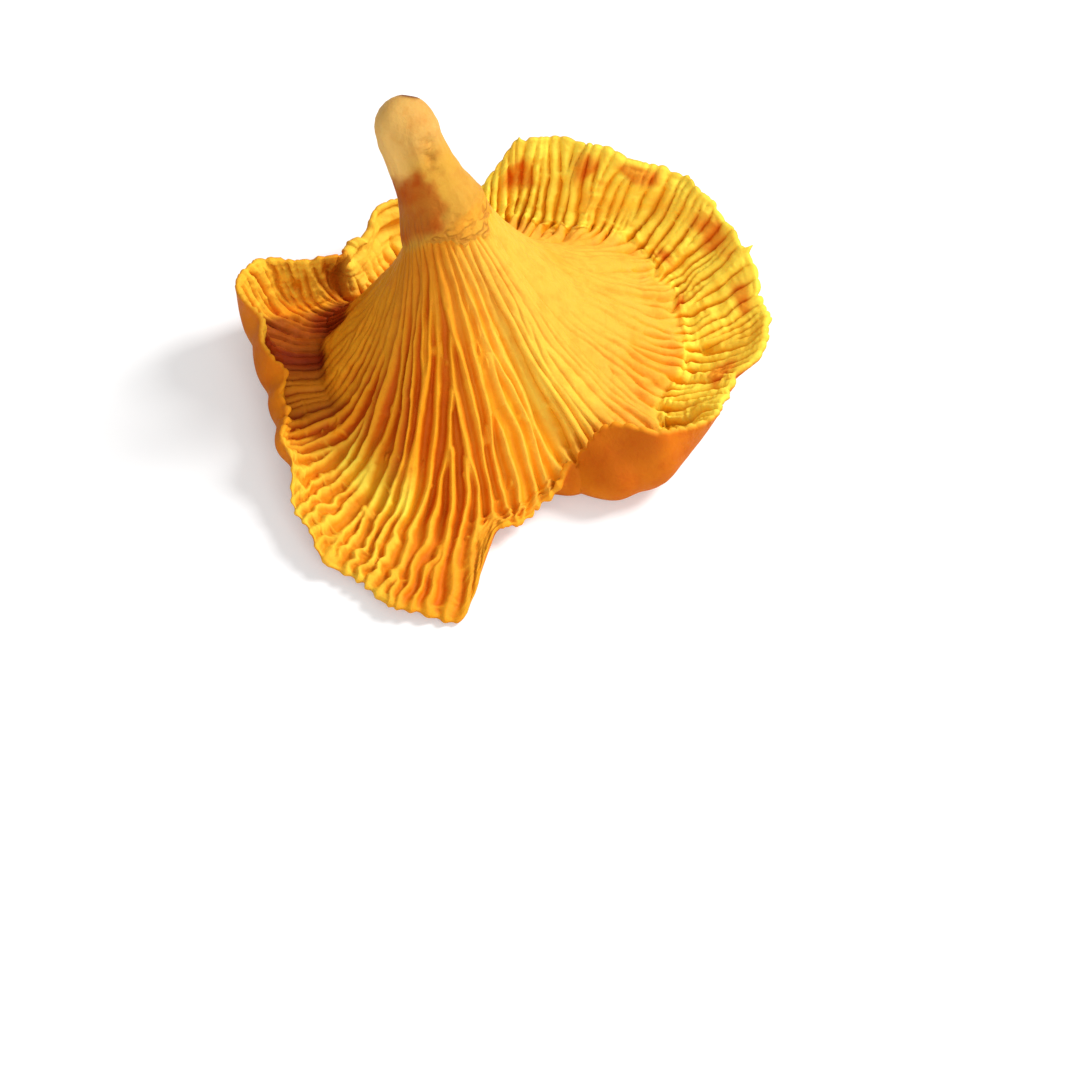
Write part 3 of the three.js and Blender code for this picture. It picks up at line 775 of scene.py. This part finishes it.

# Painted shade: the pocket beside the left lobe, shaded by the funnel, and the pleat
# beside the ear are painted dark red-brown.
POCKET_FLOOR = (161, 205)
POCKET_BACK = (152, 172)
POCKET_LESS_SHADED = (182, 225)
LESS_SHADE_SHARE = 0.4
PLEAT_SHADE_ANGLE = 151
PLEAT_SHADE = 0.75
shade_to = 2.3 + 0.035 * np.clip(angle_grid - 163, 0, 19)
pocket_shade = between(angle_grid, *POCKET_FLOOR, soft=16) * past(down_body, 1.86, 0.12)
pocket_shade = pocket_shade * until(down_body, shade_to, 0.14)
pocket_shade = pocket_shade * (0.96 + 0.3 * noise(angle_grid, 0 * angle_grid, 70, 1, 84))
pocket_shade = pocket_shade * (1 - LESS_SHADE_SHARE * between(angle_grid, *POCKET_LESS_SHADED, soft=10))
shaded_pocket_back = between(angle_grid, *POCKET_BACK, soft=10) * past(down_body, 1.7, 0.14)
shaded_pocket_back = shaded_pocket_back * until(down_body, 2.3, 0.25)
pocket_shade = np.maximum(pocket_shade, shaded_pocket_back)
shaded_pleat = PLEAT_SHADE * round_about(angle_grid, PLEAT_SHADE_ANGLE, 4.2) * hill(down_body, 2.55, 0.5)
pocket_shade = np.maximum(pocket_shade, shaded_pleat)
pocket_shade = np.clip(pocket_shade, 0, 1)

# Painted shade: the funnel's shaded left is painted ochre, and the folds just under the
# neck are painted umber in front. The tongue's right edge is ochre.
SHADED_LEFT = (150, 262)
TONGUE_EDGE = (252, 272)
TONGUE_OCHRE = 0.8
NECK_SHADE_FRONT = (200, 292)
shade_and_ochre = between(angle_grid, *SHADED_LEFT, soft=50) * past(down_body, 0.85, 0.15) * until(down_body, 2.1, 0.7)
tongue_edge = TONGUE_OCHRE * between(angle_grid, *TONGUE_EDGE, soft=8) * past(down_body, 2.15, 0.15)
shade_and_ochre = np.maximum(shade_and_ochre, tongue_edge)
painted_neck_shade = between(angle_grid, *NECK_SHADE_FRONT, soft=40) * past(down_body, 0.95, 0.1) * until(down_body, 1.5, 0.45)

# Painted light: bright yellow where the flesh faces the lamp. On the brim: first and last
# angle, softness, where down the body it starts, over how far it comes on, and its strength.
# In bands: the same, with the middle and the half-length of each band. The painted light
# is dulled on the tongue's middle, and painted light makes the stem's left pale.
LIT_BRIM = (
    (-35, 112, 30, 1.95, 0.12, 1),
    (*FRILL, 12, 1.98, 0.12, 0.45),
    (152, 185, 8, 2.3, 0.2, 0.4),
    (114, 148, 8, 2.1, 0.2, 0.7),
)
LIT_BANDS = (
    (218, 252, 8, 1.97, 0.14, 0.95),
    (286, 324, 24, 1.72, 0.3, 0.4),
)
TONGUE_MIDDLE = 262
TONGUE_DULLNESS = 0.85
LIT_STEM_LEFT = (155, 262)
painted_light = np.zeros(points.shape[:2])
for *span, start, length, strength in LIT_BRIM:
    painted_light = np.maximum(painted_light, strength * between(angle_grid, *span) * past(down_body, start, length))
for *span, middle, reach, strength in LIT_BANDS:
    painted_light = np.maximum(painted_light, strength * between(angle_grid, *span) * hill(down_body, middle, reach))
painted_light = painted_light * (1 - TONGUE_DULLNESS * round_about(angle_grid, TONGUE_MIDDLE, 9))
painted_light = painted_light * until(down_body, 3.3, 0.2)
# Painted light on the stem's left, where the lamp leaves it in shade.
lit_stem_left = between(angle_grid, *LIT_STEM_LEFT, soft=50) * past(down_body, 0.11, 0.1)
lit_stem_left = lit_stem_left * until(down_body, 0.68, 0.2)
painted_light = np.maximum(painted_light, lit_stem_left)

# ---- the fruit body: its closed skin --------------------------------------------------
# A grid is laid over the points above, its side seam and its two ends are welded into one
# closed skin, and it is thinned where it is smooth.
MILLIMETRES_IN_METRE = 1000
WELD_DISTANCE = 2e-7
FACE_LIMIT = 196000
TINTS = {
    "valley": valleys,
    "down_body": down_body,
    "painted_lit_side": painted_lit_side,
    "brown_patch": brown_patch,
    "scarred": scarred,
    "pocket_shade": pocket_shade,
    "shade_and_ochre": shade_and_ochre,
    "painted_neck_shade": painted_neck_shade,
    "wrinkled": wrinkled,
    "stained": stained,
    "painted_light": painted_light,
}
skin = bmesh.new()
bmesh.ops.create_grid(skin, x_segments=COLUMNS, y_segments=row_count - 1, size=1)
skin_mesh = bpy.data.meshes.new("chanterelle_body")
skin.to_mesh(skin_mesh)
skin.free()
grid_places = np.zeros(len(skin_mesh.vertices) * 3)
skin_mesh.vertices.foreach_get("co", grid_places)
grid_places = (grid_places.reshape(-1, 3) + 1) / 2
column = np.round(grid_places[:, 0] * COLUMNS).astype(int) % COLUMNS
row = np.round(grid_places[:, 1] * (row_count - 1)).astype(int)
placed = surface[row, column] + CAP_AXIS
placed[:, 2] = np.maximum(placed[:, 2], 0)
placed = placed / MILLIMETRES_IN_METRE
skin_mesh.vertices.foreach_set("co", placed.ravel())
for name, values in TINTS.items():
    layer = skin_mesh.attributes.new(name, "FLOAT", "POINT")
    layer.data.foreach_set("value", values[row, column].astype(np.float32))

skin = bmesh.new()
skin.from_mesh(skin_mesh)
bmesh.ops.remove_doubles(skin, verts=skin.verts, dist=WELD_DISTANCE)
bmesh.ops.recalc_face_normals(skin, faces=skin.faces)
for face in skin.faces:
    face.smooth = True
skin.to_mesh(skin_mesh)
skin.free()

body = bpy.data.objects.new("chanterelle_body", skin_mesh)
bpy.context.scene.collection.objects.link(body)
thinned = body.modifiers.new("thinned", "DECIMATE")
thinned.ratio = FACE_LIMIT / (2 * len(skin_mesh.polygons))
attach(body, "root")
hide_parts("chanterelle")

# ---- the fruit body: its flesh --------------------------------------------------------
# Soft, slightly translucent flesh with a matt, faintly moist skin. Its colours come from
# the tints above, broken up by a fine grain that stays with the body.
flesh = bpy.data.materials.new("chanterelle_flesh")
flesh.use_nodes = True
nodes, links = flesh.node_tree.nodes, flesh.node_tree.links
nodes.clear()


def node(kind, **settings):
    """A new node of the material in hand."""
    made = nodes.new(kind)
    for key, value in settings.items():
        setattr(made, key, value)
    return made


def feed(value, socket):
    """Puts a number or a colour on a socket, or links another node's socket to it."""
    if isinstance(value, bpy.types.NodeSocket):
        links.new(value, socket)
    else:
        socket.default_value = value


def colour_mix(factor, below, above, blend="MIX"):
    mixer = node("ShaderNodeMix", data_type="RGBA", blend_type=blend)
    factor_socket, below_socket, above_socket = mixer.inputs[0], mixer.inputs[6], mixer.inputs[7]
    feed(factor, factor_socket)
    feed(below, below_socket)
    feed(above, above_socket)
    return mixer.outputs[2]


def ramp(source, low, high, from_value=0.0, to_value=1.0):
    scaled = node("ShaderNodeMapRange", interpolation_type="SMOOTHSTEP")
    for value, socket in zip((source, low, high, from_value, to_value), scaled.inputs):
        feed(value, socket)
    return scaled.outputs[0]


def product(a, b):
    times = node("ShaderNodeMath", operation="MULTIPLY")
    feed(a, times.inputs[0])
    feed(b, times.inputs[1])
    return times.outputs[0]


def tint(name):
    return node("ShaderNodeAttribute", attribute_name=name).outputs["Fac"]


def linear(red, green, blue):
    """A colour as it looks on screen, 0 to 255, as the shader wants it."""
    shares = np.array([red, green, blue]) / 255
    shares = np.where(shares <= 0.04045, shares / 12.92, ((shares + 0.055) / 1.055) ** 2.4)
    return (*shares, 1.0)


place_on_body = node("ShaderNodeTexCoord").outputs["Object"]


def grain(scale, detail=3.0, roughness=0.55, place=place_on_body):
    texture = node("ShaderNodeTexNoise")
    feed(place, texture.inputs["Vector"])
    feed(scale, texture.inputs["Scale"])
    feed(detail, texture.inputs["Detail"])
    feed(roughness, texture.inputs["Roughness"])
    return texture.outputs["Fac"]


down = tint("down_body")
lit_side = tint("painted_lit_side")
light = tint("painted_light")
scars = tint("scarred")

# The folds: crests in their colour, paler with painted light on the lit side and darker
# with painted shade on the left and under the neck; grooves in painted shade, deeper as
# the valley is deeper.
CREST = linear(248, 166, 30)
CREST_LIT_SIDE = linear(238, 174, 58)
CREST_LIT = linear(255, 226, 76)
CREST_SHADED_OCHRE = linear(222, 142, 18)
CREST_ORANGE = linear(240, 146, 10)
CREST_NECK_SHADE = linear(196, 106, 10)
GROOVE_SHADE = linear(212, 98, 4)
GROOVE_SHADE_LIT_SIDE = linear(240, 164, 24)
GROOVE_SHADE_LIT = linear(240, 174, 24)
crest = colour_mix(lit_side, CREST, CREST_LIT_SIDE)
crest = colour_mix(light, crest, CREST_LIT)
crest = colour_mix(product(tint("shade_and_ochre"), 0.75), crest, CREST_SHADED_OCHRE)
crest = colour_mix(product(ramp(grain(95), 0.5, 0.72), 0.35), crest, CREST_ORANGE)
crest = colour_mix(product(tint("painted_neck_shade"), 0.5), crest, CREST_NECK_SHADE)
groove_shade = colour_mix(lit_side, GROOVE_SHADE, GROOVE_SHADE_LIT_SIDE)
groove_shade = colour_mix(light, groove_shade, GROOVE_SHADE_LIT)
folds_colour = colour_mix(ramp(tint("valley"), 0.16, 0.85), crest, groove_shade)

# The stem: buff at its foot, yellower towards the neck, brown on its cut and its scars,
# and painted paler on its left with painted light.
STEM = linear(212, 162, 80)
STEM_MOTTLE = linear(202, 136, 52)
STEM_LOW = linear(203, 150, 50)
STEM_LIT = linear(250, 198, 108)
SCAR = linear(200, 138, 46)
SCAR_MOTTLE = linear(162, 92, 26)
CUT = linear(120, 66, 24)
mottle = ramp(grain(160, 4), 0.45, 0.7)
stem_colour = colour_mix(product(mottle, 0.5), STEM, STEM_MOTTLE)
stem_colour = colour_mix(ramp(down, 0.28, 0.6), stem_colour, STEM_LOW)
stem_colour = colour_mix(product(light, 0.85), stem_colour, STEM_LIT)
stem_colour = colour_mix(product(scars, 0.6), stem_colour, colour_mix(mottle, SCAR, SCAR_MOTTLE))
stem_colour = colour_mix(ramp(down, 0.09, 0.13), CUT, stem_colour)

# Fine wrinkles run round the stem where the skin is scarred or torn.
WRINKLES_ACROSS = 420
WRINKLES_UP = 1100
WRINKLE = linear(164, 94, 24)
squashed = node("ShaderNodeMapping")
feed(place_on_body, squashed.inputs["Vector"])
feed((WRINKLES_ACROSS, WRINKLES_ACROSS, WRINKLES_UP), squashed.inputs["Scale"])
wrinkle_height = grain(1.0, detail=1.0, roughness=0.5, place=squashed.outputs[0])
wrinkle_line = product(ramp(wrinkle_height, 0.36, 0.5), ramp(wrinkle_height, 0.5, 0.64, 1.0, 0.0))
wrinkle_line = product(wrinkle_line, tint("wrinkled"))

# All of the stem and gill side, with its brown patch, wrinkles, stains and the painted
# shade of the pocket and the pleat.
PATCH_BROWN = linear(183, 80, 0)
STAIN_ORANGE = linear(222, 104, 0)
POCKET_SHADE_DARK = linear(126, 32, 0)
POCKET_SHADE_LIGHT = linear(148, 54, 4)
upper = colour_mix(ramp(down, 0.96, 1.04), stem_colour, folds_colour)
upper = colour_mix(product(scars, 0.8), upper, stem_colour)
upper = colour_mix(product(tint("brown_patch"), 0.97), upper, PATCH_BROWN)
upper = colour_mix(product(wrinkle_line, 0.6), upper, WRINKLE)
upper = colour_mix(product(tint("stained"), 0.95), upper, STAIN_ORANGE)
upper = colour_mix(tint("pocket_shade"), upper, colour_mix(ramp(grain(120), 0.4, 0.6), POCKET_SHADE_DARK, POCKET_SHADE_LIGHT))

# The cap's smooth side is a deeper, mottled orange, and small freckles cover everything.
CAP = linear(226, 128, 6)
CAP_DEEP = linear(212, 104, 2)
CAP_BROWN = linear(188, 84, 2)
FRECKLE = linear(236, 190, 130)
cap_colour = colour_mix(product(ramp(grain(70, 5), 0.4, 0.7), 0.6), CAP, CAP_DEEP)
cap_colour = colour_mix(product(ramp(grain(38, 4), 0.45, 0.68), 0.6), cap_colour, CAP_BROWN)
all_over = colour_mix(ramp(down, 3.02, 3.2), upper, cap_colour)
freckles = product(ramp(grain(420, 4, 0.6), 0.45, 0.68), 0.28)
all_over = colour_mix(freckles, all_over, colour_mix(1.0, all_over, FRECKLE, "MULTIPLY"))

# Under the skin light spreads furthest in red. The skin is pimpled and, at scars, wrinkled.
LIGHT_SPREAD = (0.002, 0.0009, 0.0003)
PIMPLE_HEIGHT = 0.0003
WRINKLE_DEPTH = 0.0003
shader = node("ShaderNodeBsdfPrincipled")
feed(all_over, shader.inputs["Base Color"])
feed(ramp(grain(300), 0.2, 0.8, 0.5, 0.72), shader.inputs["Roughness"])
feed(0.12, shader.inputs["Specular IOR Level"])
feed(0.12, shader.inputs["Subsurface Weight"])
feed(LIGHT_SPREAD, shader.inputs["Subsurface Radius"])
feed(1.0, shader.inputs["Subsurface Scale"])
pimples = node("ShaderNodeBump")
feed(0.5, pimples.inputs["Strength"])
feed(PIMPLE_HEIGHT, pimples.inputs["Distance"])
feed(grain(1500, 5, 0.65), pimples.inputs["Height"])
furrows = node("ShaderNodeBump", invert=True)
feed(0.7, furrows.inputs["Strength"])
feed(WRINKLE_DEPTH, furrows.inputs["Distance"])
feed(wrinkle_line, furrows.inputs["Height"])
feed(pimples.outputs["Normal"], furrows.inputs["Normal"])
feed(furrows.outputs["Normal"], shader.inputs["Normal"])
feed(shader.outputs[0], node("ShaderNodeOutputMaterial").inputs["Surface"])
skin_mesh.materials.append(flesh)

# ---- the table ------------------------------------------------------------------------
# A wide sheet of matt white paper under the mushroom. It glows a little to the camera
# alone, so that it looks white and still keeps the mushroom's shadow.
TABLE_SIZE = 3.0
PAPER = (0.8, 0.8, 0.8, 1)
WHITE = (1, 1, 1, 1)
PAPER_GLOW = 0.25
table_mesh = bpy.data.meshes.new("table_top")
table_shape = bmesh.new()
bmesh.ops.create_grid(table_shape, x_segments=1, y_segments=1, size=TABLE_SIZE / 2)
table_shape.to_mesh(table_mesh)
table_shape.free()
table = bpy.data.objects.new("table_top", table_mesh)
bpy.context.scene.collection.objects.link(table)
paper = bpy.data.materials.new("white_paper")
paper.use_nodes = True
nodes, links = paper.node_tree.nodes, paper.node_tree.links
nodes.clear()
matt = node("ShaderNodeBsdfDiffuse")
feed(PAPER, matt.inputs["Color"])
glow = node("ShaderNodeEmission")
feed(WHITE, glow.inputs["Color"])
feed(PAPER_GLOW, glow.inputs["Strength"])
glowing = node("ShaderNodeAddShader")
feed(matt.outputs[0], glowing.inputs[0])
feed(glow.outputs[0], glowing.inputs[1])
seen = node("ShaderNodeMixShader")
feed(node("ShaderNodeLightPath").outputs["Is Camera Ray"], seen.inputs[0])
feed(matt.outputs[0], seen.inputs[1])
feed(glowing.outputs[0], seen.inputs[2])
feed(seen.outputs[0], node("ShaderNodeOutputMaterial").inputs["Surface"])
table_mesh.materials.append(paper)

# ---- the light ------------------------------------------------------------------------
# A pale room with a lamp behind on the right, whose shadows fall to the left, and a wide
# soft one in front.
ROOM_STRENGTH = 0.45
LIT_POINT = (0, 0, 0.02)
room = bpy.data.worlds.new("studio")
bpy.context.scene.world = room
room.use_nodes = True
room_light = room.node_tree.nodes["Background"]
room_light.inputs["Color"].default_value = WHITE
room_light.inputs["Strength"].default_value = ROOM_STRENGTH


def lamp(name, place, size, watts):
    light = bpy.data.lights.new(name, "AREA")
    light.size = size
    light.energy = watts
    held = bpy.data.objects.new(name, light)
    bpy.context.scene.collection.objects.link(held)
    held.location = place
    aim = Vector(np.array(LIT_POINT) - np.array(place))
    held.rotation_euler = aim.to_track_quat("-Z", "Y").to_euler()


lamp("key", place=(0.5, 0.2, 0.5), size=0.25, watts=5.2)
lamp("fill", place=(0.25, -0.7, 0.5), size=0.5, watts=3)

# ---- the camera -----------------------------------------------------------------------
# It looks down at the mushroom from the front, 35 degrees off straight down.
CAMERA_PLACE = (0.00528, -0.3026, 0.3954)
CAMERA_TILT = 35
LENS = 111.1
SENSOR_WIDTH = 36
NEAREST = 0.01
camera_data = bpy.data.cameras.new("camera")
camera_data.lens = LENS
camera_data.sensor_width = SENSOR_WIDTH
camera_data.clip_start = NEAREST
camera = bpy.data.objects.new("camera", camera_data)
bpy.context.scene.collection.objects.link(camera)
camera.location = CAMERA_PLACE
camera.rotation_euler = (np.radians(CAMERA_TILT), 0, 0)
bpy.context.scene.camera = camera
bpy.context.scene.view_settings.view_transform = "Standard"
